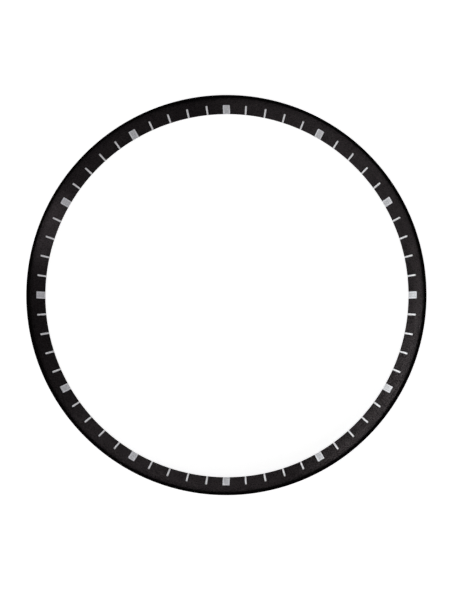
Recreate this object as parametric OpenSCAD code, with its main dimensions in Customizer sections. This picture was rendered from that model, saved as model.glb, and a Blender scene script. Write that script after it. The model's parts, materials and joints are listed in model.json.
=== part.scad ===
// Chapter ring of a wristwatch: a sloped minute track that stands round the dial, under the crystal.
// The ring lies flat on z = 0 with its axis on +Z. The track faces up, and 12 o'clock points to +Y.
// All sizes are in millimetres.

/* [Dial] */
// Diameter of the dial that lies in the ring's underside
dial_d = 28.5; // [24:0.1:36]
// Thickness of the dial, which is the depth of its seat
dial_t = 0.4; // [0.3:0.05:0.8]
// How far the ring covers the edge of the dial
dial_cover = 0.27; // [0.15:0.01:1]
// Gap between the edge of the dial and the wall of its seat
dial_gap = 0.05; // [0.02:0.01:0.1]

/* [Ring] */
// Width of the skirt, from the wall of the dial seat to the bore of the case
skirt_w = 1; // [0.8:0.05:3]
// Height from the underside to the land under the crystal
ring_h = 2.1; // [1.6:0.05:4]
// Height of the upright lip between the dial and the foot of the slope
lip_h = 0.2; // [0.1:0.01:0.4]
// Width of the land, from the outer wall to where the slope would meet it if the crest were sharp
land_w = 0.27; // [0.22:0.01:0.5]

/* [Edges] */
// Radius of the crest, which rolls from the land into the slope
crest_r = 0.28; // [0.1:0.01:0.5]
// Radius that breaks the edges of the skirt and the outer wall
edge_r = 0.06; // [0.02:0.01:0.12]
// Radius that breaks both edges of the lip
lip_r = 0.03; // [0.01:0.01:0.05]

/* [Locating lug] */
// Width of the lug that drops into the notch at the dial's edge
lug_w = 0.8; // [0.5:0.05:1.5]
// Distance from the opening's wall to the face of the lug
lug_setback = 0.08; // [0.05:0.01:0.12]
// Height of the lug's end above the underside of the ring
lug_rise = 0.05; // [0.02:0.01:0.15]

/* [Minute track] */
// Distance in plan from the opening's wall to the inner end of each mark
mark_inset = 0.01; // [0.01:0.01:0.08]
// Length of each mark in plan, measured along the radius
mark_len = 0.6; // [0.4:0.01:0.7]
// Width of an hour mark
hour_w = 0.54; // [0.3:0.01:0.9]
// Width of a minute mark
minute_w = 0.14; // [0.08:0.01:0.3]
// Thickness of the printed ink
ink_t = 0.04; // [0.02:0.01:0.08]

/* [Hidden] */
// A dial has 12 hours, and 4 minute marks stand between each pair of hour marks.
HOURS = 12;
MINUTES_BETWEEN = 4;
MINUTES = HOURS * (MINUTES_BETWEEN + 1);
MINUTE_ANGLE = 360 / MINUTES;
TWELVE_AT = 90;

BLACK = [0.075, 0.072, 0.075];
SILVER = [0.74, 0.74, 0.76];

// Flats in each rounded corner of the section, and in a full turn when it is drawn as a mesh
CORNER_STEPS = 5;
$fn = 180;

// The most of a side of the section that the rounding of its two corners may take together
ROUNDED_SHARE = 0.95;

// How far a fused piece runs into the ring, so that no face is shared
ROOT = 0.1;

// Radii of the opening that shows the dial, of the seat's wall and of the outer wall
opening_r = dial_d / 2 - dial_cover;
seat_r = dial_d / 2 + dial_gap;
ring_r = seat_r + skirt_w;

// The slope runs from its foot, on top of the lip, to the corner that the crest rounds off.
slope_foot = [opening_r, dial_t + lip_h];
slope_head = [ring_r - land_w, ring_h];
slope_run = slope_head - slope_foot;
slope_up = slope_run / norm(slope_run);
slope_out = [-slope_up[1], slope_up[0]];

// The section's corners in order: radius from the axis, height, and the rounding of that corner.
SECTION = [
    [seat_r, 0, edge_r],
    [ring_r, 0, edge_r],
    [ring_r, ring_h, edge_r],
    [slope_head[0], slope_head[1], crest_r],
    [slope_foot[0], slope_foot[1], lip_r],
    [opening_r, dial_t, lip_r],
    [seat_r, dial_t, 0]
];

function two_digits(n) = n < 10 ? str("0", n) : str(n);
function hour_name(hour) = str("hour_mark_", two_digits(hour));
function first_minute(hour) = (hour - 1) * (MINUTES_BETWEEN + 1) + 1;
function minutes_name(hour) = let (m = first_minute(hour))
    str("minute_marks_", two_digits(m), "_to_", two_digits(m + MINUTES_BETWEEN - 1));

function unit(v) = v / norm(v);

// Corner i of an outline, counted round and round: its place and the radius of its rounding.
function corner(outline, i) = outline[(i + len(outline)) % len(outline)];
function place(outline, i) = [corner(outline, i)[0], corner(outline, i)[1]];
function radius(outline, i) = corner(outline, i)[2];

// Unit vectors along the two sides that leave a corner, and half the angle between them.
function to_last(outline, i) = unit(place(outline, i - 1) - place(outline, i));
function to_next(outline, i) = unit(place(outline, i + 1) - place(outline, i));
function half_angle(outline, i) = acos(to_last(outline, i) * to_next(outline, i)) / 2;

// What a corner's rounding takes from each side beside it, if both sides have room for it.
function full_cut(outline, i) = radius(outline, i) / tan(half_angle(outline, i));

// The share of those cuts that the side after corner i has room for.
function room(outline, i) =
    let (
        side = norm(place(outline, i + 1) - place(outline, i)),
        cuts = full_cut(outline, i) + full_cut(outline, i + 1)
    )
    cuts == 0 ? 1 : min(1, ROUNDED_SHARE * side / cuts);

function cut(outline, i) = full_cut(outline, i) * min(room(outline, i - 1), room(outline, i));

// The points of the arc that rounds corner i.
function arc(outline, i) =
    let (
        p = place(outline, i),
        half = half_angle(outline, i),
        across = unit(to_last(outline, i) + to_next(outline, i)),
        centre = p + across * cut(outline, i) / cos(half),
        from = p + to_last(outline, i) * cut(outline, i) - centre,
        to = p + to_next(outline, i) * cut(outline, i) - centre,
        turn = 180 - 2 * half
    )
    [for (step = [0 : CORNER_STEPS])
        let (share = step / CORNER_STEPS)
        centre + (from * sin((1 - share) * turn) + to * sin(share * turn)) / sin(turn)];

// A closed outline with each corner rounded by its own radius.
function rounded(outline) =
    [for (i = [0 : len(outline) - 1])
        each radius(outline, i) == 0 ? [place(outline, i)] : arc(outline, i)];

// The point of the slope at a distance from the opening's wall, measured in plan.
function on_slope(plan) = slope_foot + slope_up * plan / slope_up[0];

// The ring as it leaves the lathe, with the dial seat turned into its underside.
module turned_ring() {
    rotate_extrude() polygon(rounded(SECTION));
}

// The lug stands in the dial seat at 12 o'clock. It is one with the seat's floor and wall.
module locating_lug() {
    lug_face = opening_r + lug_setback;
    translate([-lug_w / 2, lug_face, lug_rise])
        cube([lug_w, seat_r + ROOT - lug_face, dial_t + ROOT - lug_rise]);
}

module ring_body() {
    color(BLACK) {
        turned_ring();
        locating_lug();
    }
}

// The ink's own section: it lies on the slope and has the same thickness everywhere.
module ink_section() {
    inner_end = on_slope(mark_inset);
    outer_end = on_slope(mark_inset + mark_len);
    ink_top = slope_out * ink_t;
    polygon([inner_end, outer_end, outer_end + ink_top, inner_end + ink_top]);
}

// One straight-sided bar of ink of a given width, on the slope at 3 o'clock.
module ink_bar(width) {
    reach = 2 * atan(width / opening_r);
    intersection() {
        rotate([0, 0, -reach / 2]) rotate_extrude(angle = reach) ink_section();
        translate([0, -width / 2, 0]) cube([ring_r, width, ring_h]);
    }
}

// Turns what lies at 3 o'clock to a minute of the dial, clockwise from 12 o'clock.
module at_minute(minute) {
    rotate([0, 0, TWELVE_AT - minute * MINUTE_ANGLE]) children();
}

module hour_mark(hour) {
    color(SILVER) at_minute(hour * (MINUTES_BETWEEN + 1)) ink_bar(hour_w);
}

// The minute marks that come before an hour mark.
module minute_marks(hour) {
    color(SILVER)
        for (i = [0 : MINUTES_BETWEEN - 1])
            at_minute(first_minute(hour) + i) ink_bar(minute_w);
}

ring_body();
for (hour = [1 : HOURS]) {
    hour_mark(hour);
    minute_marks(hour);
}
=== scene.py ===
import json
import math

import bmesh
import bpy
from mathutils import Matrix, Vector


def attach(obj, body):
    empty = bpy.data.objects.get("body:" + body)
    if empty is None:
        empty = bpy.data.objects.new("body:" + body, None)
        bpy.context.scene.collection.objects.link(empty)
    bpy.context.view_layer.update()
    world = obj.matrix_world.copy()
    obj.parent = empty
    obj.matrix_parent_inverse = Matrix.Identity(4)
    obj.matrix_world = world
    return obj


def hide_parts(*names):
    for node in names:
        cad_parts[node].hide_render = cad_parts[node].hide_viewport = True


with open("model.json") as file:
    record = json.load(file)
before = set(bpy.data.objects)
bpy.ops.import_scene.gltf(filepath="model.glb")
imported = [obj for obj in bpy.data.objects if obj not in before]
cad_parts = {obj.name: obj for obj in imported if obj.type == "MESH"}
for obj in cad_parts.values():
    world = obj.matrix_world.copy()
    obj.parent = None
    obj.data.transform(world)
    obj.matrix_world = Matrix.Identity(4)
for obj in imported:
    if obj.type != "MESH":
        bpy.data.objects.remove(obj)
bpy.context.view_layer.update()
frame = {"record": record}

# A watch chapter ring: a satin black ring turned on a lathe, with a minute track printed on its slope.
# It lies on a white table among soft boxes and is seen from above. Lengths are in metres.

MM = 0.001


# Sizes of the ring

def mount(name):
    """One of the model's mounts, by its name."""
    return next(m for m in frame["record"]["mounts"] if m["name"] == name)


RING_R = mount("case_seat")["dims"]["r_mm"] * MM
RING_H = mount("crystal_face")["pos_m"][2]
SEAT_H = mount("dial_seat")["pos_m"][2]
LUG_FACE = mount("locating_lug")["pos_m"][1]

# No mount gives the sizes below, so they repeat the model's own.
SEAT_R = 14.3 * MM
OPENING_R = 13.98 * MM
LIP_H = 0.2 * MM
LAND_W = 0.27 * MM
CREST_ROLL = 0.28 * MM
EDGE_BREAK = 0.06 * MM
LIP_BREAK = 0.03 * MM
LUG_W = 0.8 * MM
LUG_RISE = 0.05 * MM
MARK_INSET = 0.01 * MM
MARK_LEN = 0.6 * MM
HOUR_W = 0.54 * MM
MINUTE_W = 0.14 * MM
INK_T = 0.04 * MM

HOURS = 12
MINUTES_BETWEEN = 4
MINUTES = HOURS * (MINUTES_BETWEEN + 1)

# The slope in section, as radius and height. Its head is where it would meet the land without the roll.
SLOPE_FOOT = Vector((OPENING_R, SEAT_H + LIP_H))
SLOPE_HEAD = Vector((RING_R - LAND_W, RING_H))
SLOPE_UP = (SLOPE_HEAD - SLOPE_FOOT).normalized()
SLOPE_OUT = Vector((-SLOPE_UP.y, SLOPE_UP.x))


# Tools for making meshes

# Faces that meet at a larger angle than this keep a sharp edge.
SHARP_ABOVE = math.radians(35)


def arc_corner(last, corner, following, radius, steps):
    """The points of the arc that rounds a corner, with the tangent points at its ends."""
    to_last = (last - corner).normalized()
    to_next = (following - corner).normalized()
    half = to_last.angle(to_next) / 2
    inward = (to_last + to_next).normalized()
    start = (to_last / math.tan(half) - inward / math.sin(half)).normalized()
    end = (to_next / math.tan(half) - inward / math.sin(half)).normalized()
    centre = corner + inward * radius / math.sin(half)
    return [centre + start.slerp(end, step / steps) * radius for step in range(steps + 1)]


def round_corners(corners):
    """A closed outline. Each corner says where it is, its radius and how many steps its arc takes."""
    points = []
    for i, (corner, radius, steps) in enumerate(corners):
        if radius == 0:
            points.append(corner)
            continue
        last = corners[i - 1][0]
        following = corners[(i + 1) % len(corners)][0]
        points += arc_corner(last, corner, following, radius, steps)
    return points


def fill_long_sides(points, longest):
    """Adds evenly spaced points to each side of a closed outline that is longer than a given length."""
    filled = []
    for i, point in enumerate(points):
        following = points[(i + 1) % len(points)]
        pieces = max(1, math.ceil((following - point).length / longest))
        filled += [point.lerp(following, step / pieces) for step in range(pieces)]
    return filled


def lathe(outline, turns):
    """A closed mesh that revolves an outline, of radius and height, round the Z axis."""
    mesh = bmesh.new()
    rings = []
    for turn in range(turns):
        angle = math.tau * turn / turns
        around = Vector((math.cos(angle), math.sin(angle), 0))
        rings.append([mesh.verts.new(around * p.x + Vector((0, 0, p.y))) for p in outline])
    for turn in range(turns):
        here, there = rings[turn], rings[(turn + 1) % turns]
        for i in range(len(outline)):
            j = (i + 1) % len(outline)
            mesh.faces.new((here[i], there[i], there[j], here[j]))
    bmesh.ops.recalc_face_normals(mesh, faces=mesh.faces)
    return mesh


def rounded_block(low, high, edge_break, steps):
    """A block between two corners, with all its edges rounded."""
    mesh = bmesh.new()
    bmesh.ops.create_cube(mesh, size=1)
    bmesh.ops.scale(mesh, vec=high - low, verts=mesh.verts)
    bmesh.ops.translate(mesh, vec=(high + low) / 2, verts=mesh.verts)
    edges = mesh.edges[:]
    bmesh.ops.bevel(mesh, geom=edges, offset=edge_break, segments=steps, profile=0.5, affect="EDGES")
    return mesh


def as_object(name, mesh):
    """Turns a bmesh into an object that is smooth but for its sharp edges."""
    data = bpy.data.meshes.new(name)
    mesh.to_mesh(data)
    mesh.free()
    data.shade_smooth()
    data.set_sharp_from_angle(angle=SHARP_ABOVE)
    made = bpy.data.objects.new(name, data)
    bpy.context.scene.collection.objects.link(made)
    return made


def fuse(base, tool):
    """Joins a second closed mesh into the first, as one solid."""
    union = base.modifiers.new("fuse", "BOOLEAN")
    union.operation = "UNION"
    union.solver = "EXACT"
    union.object = tool
    graph = bpy.context.evaluated_depsgraph_get()
    fused = bpy.data.meshes.new_from_object(base.evaluated_get(graph))
    base.modifiers.clear()
    base.data = fused
    bpy.data.objects.remove(tool)


# The ring

# Steps round the axis and in the rounded corners of the section, and the widest gap between its points
RING_TURNS = 720
EDGE_STEPS = 6
CREST_STEPS = 14
LIP_STEPS = 4
ROW_SPACING = 0.06 * MM

LUG_BREAK = 0.04 * MM
LUG_STEPS = 3
LUG_ROOT = 0.1 * MM


def ring_section():
    """The ring's section, as radius and height, from the foot of the dial seat's wall and round."""
    corners = [
        (Vector((SEAT_R, 0)), EDGE_BREAK, EDGE_STEPS),
        (Vector((RING_R, 0)), EDGE_BREAK, EDGE_STEPS),
        (Vector((RING_R, RING_H)), EDGE_BREAK, EDGE_STEPS),
        (SLOPE_HEAD, CREST_ROLL, CREST_STEPS),
        (SLOPE_FOOT, LIP_BREAK, LIP_STEPS),
        (Vector((OPENING_R, SEAT_H)), LIP_BREAK, LIP_STEPS),
        (Vector((SEAT_R, SEAT_H)), 0, 0),
    ]
    return fill_long_sides(round_corners(corners), ROW_SPACING)


def make_lug():
    """The locating lug at 12 o'clock. Its root runs into the floor and the wall of the dial seat."""
    low = Vector((-LUG_W / 2, LUG_FACE, LUG_RISE))
    high = Vector((LUG_W / 2, SEAT_R + LUG_ROOT, SEAT_H + LUG_ROOT))
    return as_object("lug", rounded_block(low, high, LUG_BREAK, LUG_STEPS))


def make_ring():
    """The whole metal ring, with its lug."""
    ring = as_object("turned_ring", lathe(ring_section(), RING_TURNS))
    fuse(ring, make_lug())
    ring.data.materials.append(satin_black())
    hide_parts("ring_body")
    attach(ring, "root")


# The printed track

INK_ROLL = 0.035 * MM
INK_BITE = 0.003 * MM
INK_CORNER = 0.045 * MM
GRID_SPACING = 0.03 * MM

# Where the rows of points lie in the rolled border of the ink, closer together towards its edge
BORDER_ROWS = [0, 0.002 * MM, 0.006 * MM, 0.013 * MM, 0.022 * MM, INK_ROLL]

# The faint rim round each mark, a little raised and brighter in colour. The rise is its share of the ink's
# height.
RIM = "ink_rim"
RIM_RISE = 0.12
RIM_WIDTH = 0.05 * MM
RIM_FADE = 0.04 * MM


def grid_lines(length):
    """Places along one side of a mark, close together where the ink rolls over at both ends."""
    inside = length - 2 * INK_ROLL
    pieces = max(2, math.ceil(inside / GRID_SPACING))
    middle = [INK_ROLL + inside * step / pieces for step in range(1, pieces)]
    return BORDER_ROWS + middle + [length - row for row in reversed(BORDER_ROWS)]


def ink_rim(from_border):
    """How much a spot belongs to the rim of a mark, from 0 to 1."""
    return math.exp(-((max(from_border - RIM_WIDTH, 0) / RIM_FADE) ** 2))


def ink_height(from_border):
    """Height of the ink over the slope, with the rim. It rolls off to nothing at its border."""
    roll = min(from_border / INK_ROLL, 1)
    return INK_T * math.sqrt(1 - (1 - roll) ** 2) * (1 - RIM_RISE + RIM_RISE * ink_rim(from_border))


def on_slope(plan, across, height, angle):
    """A point over the slope, from its distance to the opening's wall in plan, its place across the mark,
    its height over the slope and the angle of the mark round the ring."""
    foot = SLOPE_FOOT + SLOPE_UP * plan / SLOPE_UP.x
    lifted = foot + SLOPE_OUT * height
    turn = angle + math.asin(across / foot.x)
    return Vector((lifted.x * math.cos(turn), lifted.x * math.sin(turn), lifted.y))


def corner_inset(row, width):
    """How far each side of a mark draws in near its two ends, where its corners are rounded."""
    most = min(INK_CORNER, width / 4)
    into = 1 - min(row, MARK_LEN - row, INK_CORNER) / INK_CORNER
    return most * (1 - math.sqrt(1 - into**2))


def mark_points(mesh, angle, width):
    """Rows of points for the top of a mark and for its underside, which follows the slope."""
    rim = mesh.verts.layers.float[RIM]
    top, under = [], []
    for row in grid_lines(MARK_LEN):
        half = width / 2 - corner_inset(row, width)
        to_end = min(row, MARK_LEN - row) / SLOPE_UP.x
        plan = MARK_INSET + row
        top_row, under_row = [], []
        for column in grid_lines(width):
            across = (column / width * 2 - 1) * half
            from_border = min(half - abs(across), to_end)
            spot = mesh.verts.new(on_slope(plan, across, ink_height(max(from_border, 0)), angle))
            spot[rim] = ink_rim(from_border)
            top_row.append(spot)
            under_row.append(mesh.verts.new(on_slope(plan, across, -INK_BITE, angle)))
        top.append(top_row)
        under.append(under_row)
    return top, under


def grid_border(rows, columns):
    """The places round the border of a grid, in order, each as its row and its column."""
    border = [(0, j) for j in range(columns)]
    border += [(i, columns - 1) for i in range(1, rows)]
    border += [(rows - 1, j) for j in range(columns - 2, -1, -1)]
    border += [(i, 0) for i in range(rows - 2, 0, -1)]
    return border


def add_mark(mesh, angle, width):
    """Adds one mark as a closed skin of ink: its top, a thin side and its underside."""
    top, under = mark_points(mesh, angle, width)
    rows, columns = len(top), len(top[0])
    for i in range(rows - 1):
        for j in range(columns - 1):
            mesh.faces.new((top[i][j], top[i][j + 1], top[i + 1][j + 1], top[i + 1][j]))
            mesh.faces.new((under[i][j], under[i + 1][j], under[i + 1][j + 1], under[i][j + 1]))
    border = grid_border(rows, columns)
    for (i, j), (m, n) in zip(border, border[1:] + border[:1]):
        mesh.faces.new((top[i][j], under[i][j], under[m][n], top[m][n]))


def minute_angle(minute):
    """The angle of a minute round the Z axis, with 12 o'clock on +Y and the hours clockwise."""
    return math.tau / 4 - math.tau * minute / MINUTES


def make_print(name, minutes, width, node, material):
    """One print on the slope: the marks at the given minutes, in place of a node of the model."""
    mesh = bmesh.new()
    mesh.verts.layers.float.new(RIM)
    for minute in minutes:
        add_mark(mesh, minute_angle(minute), width)
    bmesh.ops.recalc_face_normals(mesh, faces=mesh.faces)
    ink = as_object(name, mesh)
    ink.data.materials.append(material)
    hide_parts(node)
    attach(ink, "root")


def make_track():
    """All marks: twelve hour blocks and the four minute lines before each of them."""
    hour_ink = silver_ink("silver_hour_ink", base=(0.51, 0.508, 0.53), mottle=0.45, rim=1.4)
    minute_ink = silver_ink("silver_minute_ink", base=(0.75, 0.745, 0.765), mottle=0.2, rim=1.0)
    for hour in range(1, HOURS + 1):
        minute = hour * (MINUTES_BETWEEN + 1)
        tag = f"{hour:02d}"
        node = f"hour_mark_{tag}"
        make_print(f"hour_print_{tag}", [minute], HOUR_W, node, hour_ink)
        before = range(minute - MINUTES_BETWEEN, minute)
        tag = f"{before[0]:02d}_to_{before[-1]:02d}"
        node = f"minute_marks_{tag}"
        make_print(f"minute_prints_{tag}", before, MINUTE_W, node, minute_ink)


# Tools for making finishes

def new_material(name):
    """An empty material and its node tree."""
    material = bpy.data.materials.new(name)
    material.use_nodes = True
    material.node_tree.nodes.clear()
    return material, material.node_tree


def find_socket(sockets, key):
    """The first socket with a given identifier or name, written with underscores for spaces."""
    return next(s for s in sockets if key in (s.identifier, s.name.replace(" ", "_")))


def add(tree, kind, settings=None, **inputs):
    """Adds a shader node, with its settings. Each input is a value or an output of another node."""
    node = tree.nodes.new("ShaderNode" + kind)
    for key, value in (settings or {}).items():
        setattr(node, key, value)
    for key, value in inputs.items():
        socket = find_socket(node.inputs, key)
        if isinstance(value, bpy.types.NodeSocket):
            tree.links.new(value, socket)
        else:
            socket.default_value = value
    return node


def new_group(name, inputs):
    """A shader node group with named inputs, each with its usual value. Gives the group and what comes in."""
    group = bpy.data.node_groups.new(name, "ShaderNodeTree")
    for key, value in inputs.items():
        socket = group.interface.new_socket(key, in_out="INPUT", socket_type="NodeSocketFloat")
        socket.default_value = value
    return group, group.nodes.new("NodeGroupInput").outputs


def put_out(group, **outputs):
    """Gives a group its named outputs and links them."""
    for key in outputs:
        group.interface.new_socket(key, in_out="OUTPUT", socket_type="NodeSocketFloat")
    end = group.nodes.new("NodeGroupOutput")
    for key, value in outputs.items():
        group.links.new(value, end.inputs[key])


def use_group(tree, group, **inputs):
    """Places a group in a material with the material's own values, and gives what comes out."""
    return add(tree, "Group", {"node_tree": group}, **inputs).outputs


def calculate(tree, operation, first, second=0.0, clamp=False):
    """What an operation makes of two numbers, held from 0 to 1 where it is clamped."""
    settings = {"operation": operation, "use_clamp": clamp}
    return add(tree, "Math", settings, Value=first, Value_001=second).outputs["Value"]


def calculate_vector(tree, operation, vector, output="Vector", **inputs):
    """What an operation makes of a vector."""
    node = add(tree, "VectorMath", {"operation": operation}, Vector=vector, **inputs)
    return node.outputs[output]


def remap(tree, value, low, high, to_low=0.0, to_high=1.0):
    """Carries a value over from one range to another, and holds it at both ends."""
    ranges = {"From_Min": low, "From_Max": high, "To_Min": to_low, "To_Max": to_high}
    return add(tree, "MapRange", Value=value, **ranges).outputs["Result"]


def mix_values(tree, factor, first, second):
    """A number between two others."""
    node = add(tree, "Mix", {"data_type": "FLOAT"}, Factor_Float=factor, A_Float=first, B_Float=second)
    return find_socket(node.outputs, "Result_Float")


def mix_colours(tree, factor, first, second):
    """A colour between two others."""
    node = add(tree, "Mix", {"data_type": "RGBA"}, Factor_Float=factor, A_Color=first, B_Color=second)
    return find_socket(node.outputs, "Result_Color")


def bump(tree, height, depth):
    """The normal of a surface with a relief of a real depth."""
    return add(tree, "Bump", Strength=1.0, Distance=depth, Height=height).outputs["Normal"]


def shade(colour, times):
    """A colour made so many times as bright, up to white."""
    return tuple(min(1, channel * times) for channel in colour) + (1,)


# Speckle and turning lines

INK_BLOTCH = 0.055 * MM
INK_FLAKE = 0.018 * MM
LINE_PITCH = 0.03 * MM
LINE_WANDER = 1.5

# Noise keeps near its middle, so this much of its range is spread out from 0 to 1.
SPECKLE_FROM, SPECKLE_TO = 0.36, 0.64
STREAK_FROM, STREAK_TO = 0.35, 0.65

# How many streaks there are to each turning line
STREAK_PACE = 0.23


def speckles(group, place, size):
    """Speckles of one size, from 0 to 1."""
    per_metre = calculate(group, "DIVIDE", 1.0, size)
    noise = add(group, "TexNoise", Vector=place, Scale=per_metre, Detail=2.0, Roughness=0.55)
    return remap(group, noise.outputs["Fac"], SPECKLE_FROM, SPECKLE_TO)


def speckle_group():
    """Coarse and fine speckle in a surface: a mask from 0 to 1 for colour and roughness, and a height."""
    inputs = {"Coarse Size": INK_BLOTCH, "Fine Size": INK_FLAKE, "Fine Share": 0.5}
    group, given = new_group("speckle", inputs)
    place = add(group, "TexCoord").outputs["Object"]
    coarse = speckles(group, place, given["Coarse Size"])
    fine = speckles(group, place, given["Fine Size"])
    put_out(group, Mask=mix_values(group, given["Fine Share"], coarse, fine), Height=fine)
    return group


def turning_group():
    """The lines that a lathe tool leaves round the axis: their height, the slow streaks among them and the
    distance from the axis. Each line keeps to one sum of radius and height, and wanders a little."""
    group, given = new_group("turning_lines", {"Pitch": LINE_PITCH, "Wander": LINE_WANDER})
    place = add(group, "TexCoord").outputs["Object"]
    flat = calculate_vector(group, "MULTIPLY", place, Vector_001=(1.0, 1.0, 0.0))
    radius = calculate_vector(group, "LENGTH", flat, output="Value")
    height = add(group, "SeparateXYZ", Vector=place).outputs["Z"]
    along_section = calculate(group, "ADD", radius, height)
    line = calculate(group, "DIVIDE", along_section, given["Pitch"])
    around = calculate_vector(group, "NORMALIZE", flat)
    around = calculate_vector(group, "SCALE", around, Scale=given["Wander"])
    lifted = add(group, "CombineXYZ", Z=line).outputs["Vector"]
    spot = calculate_vector(group, "ADD", around, Vector_001=lifted)
    fine = add(group, "TexNoise", Vector=spot, Scale=1.0, Detail=3.0, Roughness=0.6).outputs["Fac"]
    slow = add(group, "TexNoise", Vector=spot, Scale=STREAK_PACE, Detail=1.0, Roughness=0.5).outputs["Fac"]
    put_out(group, Height=fine, Streak=remap(group, slow, STREAK_FROM, STREAK_TO), Radius=radius)
    return group


SPECKLE = speckle_group()
TURNING = turning_group()


# Satin black, the finish of the ring

SATIN_DARK = (0.0062, 0.0054, 0.0057, 1)
SATIN_PALE = (0.0448, 0.0391, 0.0409, 1)
SATIN_BLOTCH = 0.075 * MM
SATIN_FLECK = 0.03 * MM
SATIN_FLECK_SHARE = 0.15
SATIN_SMOOTH, SATIN_ROUGH = 0.36, 0.41
STREAK_SHIFT = 0.02
GROOVE_DEPTH = 0.0006 * MM
BLACK = (0.0, 0.0, 0.0, 1)

# The land is turned finer than the slope. The finish changes between these two radii, on the crest.
LAND_FROM = 15.02 * MM
LAND_FULL = 15.12 * MM
LAND_ROUGHNESS = 0.18

# Painted shade: the black is darkened more and more between these two radii, from the upper slope to the
# crest.
CREST_SHADE_FROM = 14.72 * MM
CREST_SHADE_FULL = 15.02 * MM
CREST_SHADE_SHARE = 0.28


def shaded_satin_tone(tree, speckle, radius):
    """Speckled black, with painted shade that darkens it towards the crest."""
    tone = mix_colours(tree, speckle, SATIN_DARK, SATIN_PALE)
    # painted shade, darker towards the crest
    crest_shade = remap(tree, radius, CREST_SHADE_FROM, CREST_SHADE_FULL, 0.0, CREST_SHADE_SHARE)
    return mix_colours(tree, crest_shade, tone, BLACK)


def satin_roughness(tree, speckle, streak, radius):
    """Satin on the slope, varied by the speckle and the streaks, and smoother on the land."""
    satin = remap(tree, speckle, 0.0, 1.0, SATIN_SMOOTH, SATIN_ROUGH)
    shift = remap(tree, streak, 0.0, 1.0, -STREAK_SHIFT, STREAK_SHIFT)
    slope = calculate(tree, "ADD", satin, shift)
    land = remap(tree, radius, LAND_FROM, LAND_FULL)
    return mix_values(tree, land, slope, LAND_ROUGHNESS)


def satin_black():
    """A black metal finish over turning lines. Its gloss spreads across the lines and is narrow along them,
    and the black tint keeps it from brightening at grazing angles."""
    material, tree = new_material("satin_black")
    lines = use_group(tree, TURNING, Pitch=LINE_PITCH, Wander=LINE_WANDER)
    sizes = {"Coarse_Size": SATIN_BLOTCH, "Fine_Size": SATIN_FLECK, "Fine_Share": SATIN_FLECK_SHARE}
    speckle = use_group(tree, SPECKLE, **sizes)["Mask"]
    around = add(tree, "Tangent", {"direction_type": "RADIAL", "axis": "Z"})
    shader = add(
        tree,
        "BsdfPrincipled",
        Base_Color=shaded_satin_tone(tree, speckle, lines["Radius"]),
        Roughness=satin_roughness(tree, speckle, lines["Streak"], lines["Radius"]),
        Normal=bump(tree, lines["Height"], GROOVE_DEPTH),
        Metallic=1.0,
        Specular_Tint=BLACK,
        Anisotropic=0.95,
        Anisotropic_Rotation=0.25,
        Tangent=around.outputs["Tangent"],
    )
    add(tree, "OutputMaterial", Surface=shader.outputs["BSDF"])
    return material


# Silver ink, the finish of the marks

INK_FLAKE_SHARE = 0.3
INK_ROUGH, INK_SMOOTH = 0.62, 0.48
FLAKE_DEPTH = 0.0015 * MM


def silver_ink(name, base, mottle, rim):
    """Printed silver ink: metal flake in a clear binder. Mottle is the share by which its tone varies to
    both sides of the base, and the rim is so many times as bright as the base."""
    material, tree = new_material(name)
    sizes = {"Coarse_Size": INK_BLOTCH, "Fine_Size": INK_FLAKE, "Fine_Share": INK_FLAKE_SHARE}
    speckle = use_group(tree, SPECKLE, **sizes)
    tone = mix_colours(tree, speckle["Mask"], shade(base, 1 - mottle), shade(base, 1 + mottle))
    at_rim = add(tree, "Attribute", {"attribute_name": RIM}).outputs["Fac"]
    shader = add(
        tree,
        "BsdfPrincipled",
        Base_Color=mix_colours(tree, at_rim, tone, shade(base, rim)),
        Roughness=remap(tree, speckle["Mask"], 0.0, 1.0, INK_ROUGH, INK_SMOOTH),
        Normal=bump(tree, speckle["Height"], FLAKE_DEPTH),
        Metallic=0.3,
    )
    add(tree, "OutputMaterial", Surface=shader.outputs["BSDF"])
    return material


# The table

TABLE_R = 0.9
TABLE_DROP = 0.005 * MM
TABLE_SIDES = 96
TABLE_WHITE = (0.80, 0.80, 0.80, 1)
TABLE_GLOW = 0.88
WHITE = (1, 1, 1, 1)


def seen_white(tree):
    """1 for what the camera sees, also mirrored in the object or through it, and 0 for what lights it."""
    path = add(tree, "LightPath").outputs
    direct = calculate(tree, "ADD", path["Is Camera Ray"], path["Is Glossy Ray"])
    return calculate(tree, "ADD", direct, path["Is Transmission Ray"], clamp=True)


def table_finish():
    """Matt white. What the camera sees of it is lifted to white, and the object's shadow stays on it.
    From below it is clear, so that the underside of the ring can be looked at."""
    material, tree = new_material("table_white")
    shader = add(
        tree,
        "BsdfPrincipled",
        Base_Color=TABLE_WHITE,
        Roughness=0.9,
        Specular_IOR_Level=0.0,
        Emission_Color=WHITE,
        Emission_Strength=calculate(tree, "MULTIPLY", seen_white(tree), TABLE_GLOW),
    )
    clear = add(tree, "BsdfTransparent").outputs["BSDF"]
    below = add(tree, "NewGeometry").outputs["Backfacing"]
    either = add(tree, "MixShader", Fac=below, Shader=shader.outputs["BSDF"], Shader_001=clear)
    add(tree, "OutputMaterial", Surface=either.outputs["Shader"])
    return material


def make_table():
    """A large round table top, just below the ring."""
    mesh = bmesh.new()
    bmesh.ops.create_circle(mesh, cap_ends=True, segments=TABLE_SIDES, radius=TABLE_R)
    bmesh.ops.translate(mesh, vec=(0, 0, -TABLE_DROP), verts=mesh.verts)
    table = as_object("table", mesh)
    table.data.materials.append(table_finish())


# The soft boxes

BOX_DISTANCE = 0.5
KEY = (0.97, 1.0, 0.985)
PLAIN = (1.0, 1.0, 1.0)
COOL = (0.99, 0.975, 1.0)

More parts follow.
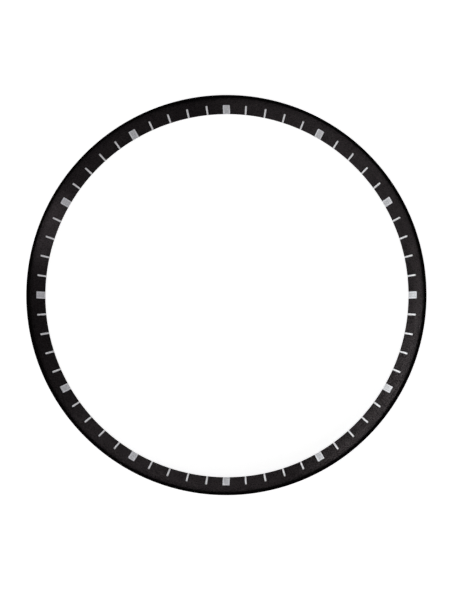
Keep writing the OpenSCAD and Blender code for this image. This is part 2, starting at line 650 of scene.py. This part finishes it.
# Each stands round the ring. The clock angle says from where it shines, and the width and the heights that
# it spans are angles too, all in degrees.
SOFT_BOXES = {
    "key_strip": dict(clock=297, width=79, low=1, high=6, brightness=20.5, colour=KEY),
    "key_core": dict(clock=299, width=56, low=1, high=5, brightness=12.0, colour=KEY),
    "left_strip": dict(clock=243, width=30, low=1, high=13, brightness=3.5, colour=KEY),
    "left_box": dict(clock=231, width=56, low=7, high=26, brightness=1.5, colour=PLAIN),
    "low_box": dict(clock=205, width=50, low=7, high=26, brightness=2.2, colour=PLAIN),
    "top_strip": dict(clock=15, width=70, low=1, high=13, brightness=4.8, colour=PLAIN),
    "corner_strip": dict(clock=58, width=20, low=1, high=13, brightness=1.0, colour=PLAIN),
    "right_strip": dict(clock=110, width=22, low=1, high=13, brightness=6.0, colour=COOL),
    "right_box": dict(clock=110, width=22, low=26, high=46, brightness=0.8, colour=COOL),
    "side_fill": dict(clock=135, width=60, low=26, high=46, brightness=1.0, colour=COOL),
}


def clock_direction(clock):
    """A flat direction from its angle clockwise from 12 o'clock, in degrees."""
    turn = math.radians(clock)
    return Vector((math.sin(turn), math.cos(turn), 0))


def make_soft_box(name, clock, width, low, high, brightness, colour):
    """An upright soft box that faces the ring's axis. Its brightness is the radiance of its face."""
    bottom, top = (BOX_DISTANCE * math.tan(math.radians(angle)) for angle in (low, high))
    across = 2 * BOX_DISTANCE * math.tan(math.radians(width / 2))
    lamp = bpy.data.lights.new(name, "AREA")
    lamp.shape = "RECTANGLE"
    lamp.size = across
    lamp.size_y = top - bottom
    lamp.energy = brightness * math.pi * across * (top - bottom)
    lamp.color = colour
    box = bpy.data.objects.new(name, lamp)
    outward = clock_direction(clock)
    box.rotation_mode = "QUATERNION"
    box.rotation_quaternion = (-outward).to_track_quat("-Z", "Y")
    box.location = outward * BOX_DISTANCE + Vector((0, 0, (top + bottom) / 2))
    box.visible_camera = False
    bpy.context.scene.collection.objects.link(box)


# The room

# Its light near the horizon and overhead
ROOM_LOW, ROOM_HIGH = 0.17, 0.09

# How far a direction rises, from 0 at the horizon to 1 overhead: where the room starts to get darker, where
# it is darkest, and where the white backdrop ends
DIM_FROM, DIM_FULL = 0.1, 0.8
BACKDROP_TOP = 0.07


def make_room():
    """The room's light for the object, a white backdrop for what the object mirrors, and plain white for
    the camera."""
    world = bpy.data.worlds.new("room")
    bpy.context.scene.world = world
    world.use_nodes = True
    tree = world.node_tree
    tree.nodes.clear()
    direction = add(tree, "TexCoord").outputs["Generated"]
    rise = add(tree, "SeparateXYZ", Vector=direction).outputs["Z"]
    grey = remap(tree, rise, DIM_FROM, DIM_FULL, ROOM_LOW, ROOM_HIGH)
    path = add(tree, "LightPath").outputs
    mirrored = calculate(tree, "ADD", path["Is Glossy Ray"], path["Is Transmission Ray"], clamp=True)
    backdrop = calculate(tree, "LESS_THAN", rise, BACKDROP_TOP)
    white = calculate(tree, "MULTIPLY", mirrored, backdrop)
    white = calculate(tree, "ADD", white, path["Is Camera Ray"], clamp=True)
    room = add(tree, "Background", Strength=mix_values(tree, white, grey, 1.0))
    add(tree, "OutputWorld", Surface=room.outputs["Background"])


# The camera

# Where the ring's centre lies in the photograph, in its pixels
PHOTO_W, PHOTO_H = 450, 600
RING_X, RING_Y = 225.89, 294.56
PIXELS_PER_MM = 13.093

# The camera stands off the axis by the tilt, towards the side, which is counted from 6 o'clock towards
# 3 o'clock. Angles are in degrees.
CAMERA_DISTANCE = 200 * MM
CAMERA_SIDE = 44.5
CAMERA_TILT = 2.6
CAMERA_ROLL = 0.044
SENSOR = 36.0
CLIP_NEAR, CLIP_FAR = 0.01, 10


def camera_axes():
    """The camera's own directions: to its right, up, and back from what it looks at."""
    side, tilt = math.radians(CAMERA_SIDE), math.radians(CAMERA_TILT)
    back = Vector((math.sin(side) * math.sin(tilt), -math.cos(side) * math.sin(tilt), math.cos(tilt)))
    level = Vector((0, 1, 0)).cross(back).normalized()
    right = Matrix.Rotation(math.radians(CAMERA_ROLL), 3, back) @ level
    return right, back.cross(right), back


def make_camera():
    """Looks down at the ring, with 12 o'clock up, and holds it where it lies in the photograph."""
    metres_per_pixel = MM / PIXELS_PER_MM
    aim_x = (PHOTO_W / 2 - RING_X) * metres_per_pixel
    aim_y = (RING_Y - PHOTO_H / 2) * metres_per_pixel
    aim = Vector((aim_x, aim_y, RING_H - EDGE_BREAK))
    right, up, back = camera_axes()
    camera = bpy.data.cameras.new("camera")
    camera.sensor_fit = "AUTO"
    camera.sensor_width = SENSOR
    camera.lens = SENSOR * CAMERA_DISTANCE / (PHOTO_H * metres_per_pixel)
    camera.clip_start = CLIP_NEAR
    camera.clip_end = CLIP_FAR
    holder = bpy.data.objects.new("camera", camera)
    turn = Matrix((right, up, back)).transposed().to_4x4()
    holder.matrix_world = Matrix.Translation(aim + back * CAMERA_DISTANCE) @ turn
    bpy.context.scene.collection.objects.link(holder)
    bpy.context.scene.camera = holder


# All of it together

make_camera()
make_ring()
make_track()
make_table()
make_room()
for name, box in SOFT_BOXES.items():
    make_soft_box(name, **box)
bpy.context.scene.view_settings.view_transform = "Standard"
